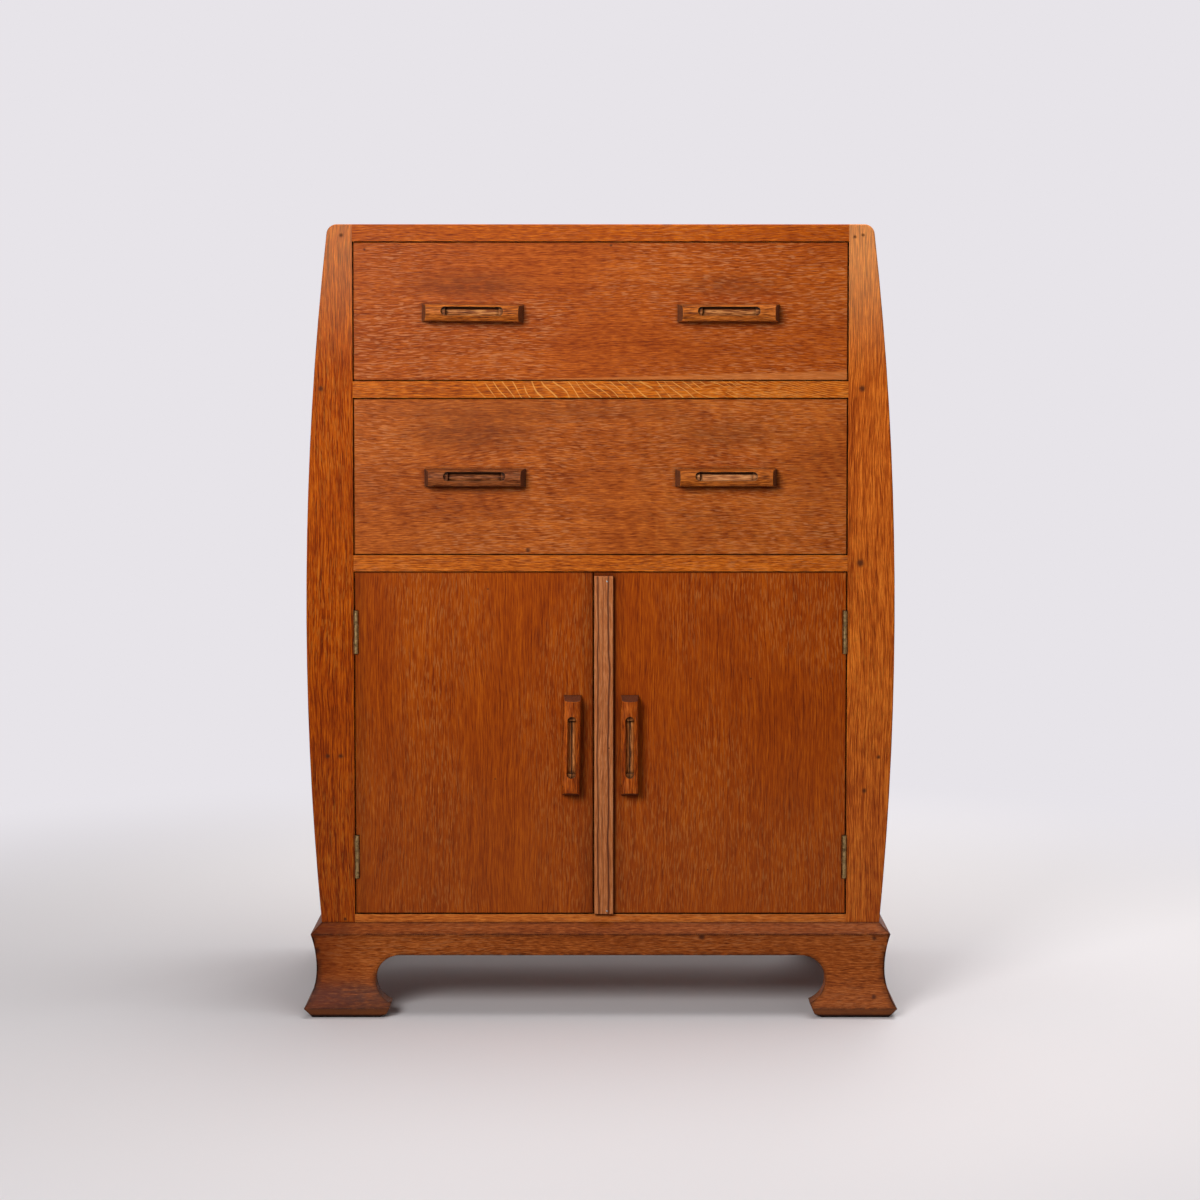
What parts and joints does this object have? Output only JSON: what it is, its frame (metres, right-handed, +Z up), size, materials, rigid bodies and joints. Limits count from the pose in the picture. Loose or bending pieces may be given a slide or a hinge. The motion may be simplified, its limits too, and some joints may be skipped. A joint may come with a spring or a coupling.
{
  "type": "tallboy",
  "caption": "Bow-sided oak tallboy with long drawers over a cupboard with hinged doors, on a moulded plinth with scrolled bracket feet.",
  "frame": {"origin": "on the floor, under the middle of the object's bounding box", "axes": "+Z up, the front with drawers and doors faces -Y, +X to the right as seen from the front"},
  "size_m": [0.8744, 0.488, 1.168],
  "materials": {
    "oak_carcase": "satin varnish",
    "oak_rail": "satin varnish",
    "oak_drawer_front": "satin varnish",
    "oak_door": "satin varnish",
    "oak_plinth": "satin varnish, worn",
    "oak_handle": "satin varnish, worn",
    "oak_strip": "matt oak",
    "plain_wood": "bare",
    "plywood": "bare",
    "brass": "aged",
    "steel": "dull"
  },
  "bodies": {
    "carcase": {"back_panel": "plywood", "bottom_board": "oak_carcase", "catch_strike_plates": "brass", "drawer_rail": "oak_rail", "drawer_stops": "plain_wood", "dust_board": "plywood", "frame_hinge_screws": "steel", "left_frame_hinge_leaves": "brass", "lower_runners": "plain_wood", "mid_rail": "oak_carcase", "plinth_back": "plain_wood", "plinth_front": "oak_plinth", "plinth_glue_blocks": "plain_wood", "plinth_side_left": "oak_plinth", "plinth_side_right": "oak_plinth", "right_frame_hinge_leaves": "brass", "shelf": "plain_wood", "shelf_bearers": "plain_wood", "side_lining_left": "plain_wood", "side_lining_right": "plain_wood", "side_panel_left": "oak_carcase", "side_panel_right": "oak_carcase", "stile_front_left": "oak_carcase", "stile_front_right": "oak_carcase", "stile_rear_left": "plain_wood", "stile_rear_right": "plain_wood", "top_board": "oak_carcase", "upper_runners": "plain_wood"},
    "upper_drawer": {"upper_drawer_back": "plain_wood", "upper_drawer_bottom": "plywood", "upper_drawer_front": "oak_drawer_front", "upper_drawer_handle_left": "oak_handle", "upper_drawer_handle_right": "oak_handle", "upper_drawer_handle_screws": "steel", "upper_drawer_side_left": "plain_wood", "upper_drawer_side_right": "plain_wood"},
    "lower_drawer": {"lower_drawer_back": "plain_wood", "lower_drawer_bottom": "plywood", "lower_drawer_front": "oak_drawer_front", "lower_drawer_handle_left": "oak_handle", "lower_drawer_handle_right": "oak_handle", "lower_drawer_handle_screws": "steel", "lower_drawer_side_left": "plain_wood", "lower_drawer_side_right": "plain_wood"},
    "left_door": {"left_door": "oak_door", "left_door_handle": "oak_handle", "left_door_handle_screws": "steel", "left_door_hinge_leaves": "brass", "left_door_hinge_screws": "steel", "left_hinge_pins": "brass", "left_spring_catch": "brass"},
    "right_door": {"closing_strip": "oak_strip", "right_door": "oak_door", "right_door_handle": "oak_handle", "right_door_handle_screws": "steel", "right_door_hinge_leaves": "brass", "right_door_hinge_screws": "steel", "right_hinge_pins": "brass", "right_spring_catch": "brass"}
  },
  "joints": [
    {"name": "upper_drawer_slide", "type": "slide", "parent": "carcase", "child": "upper_drawer", "axis": [0, -1, 0], "range_m": [0, 0.33]},
    {"name": "lower_drawer_slide", "type": "slide", "parent": "carcase", "child": "lower_drawer", "axis": [0, -1, 0], "range_m": [0, 0.33]},
    {"name": "left_door_hinge", "type": "hinge", "parent": "carcase", "child": "left_door", "pos_m": [-0.3597, -0.217, 0.4], "axis": [0, 0, -1], "range_deg": [0, 165]},
    {"name": "right_door_hinge", "type": "hinge", "parent": "carcase", "child": "right_door", "pos_m": [0.3597, -0.217, 0.4], "axis": [0, 0, 1], "range_deg": [0, 165]}
  ]
}
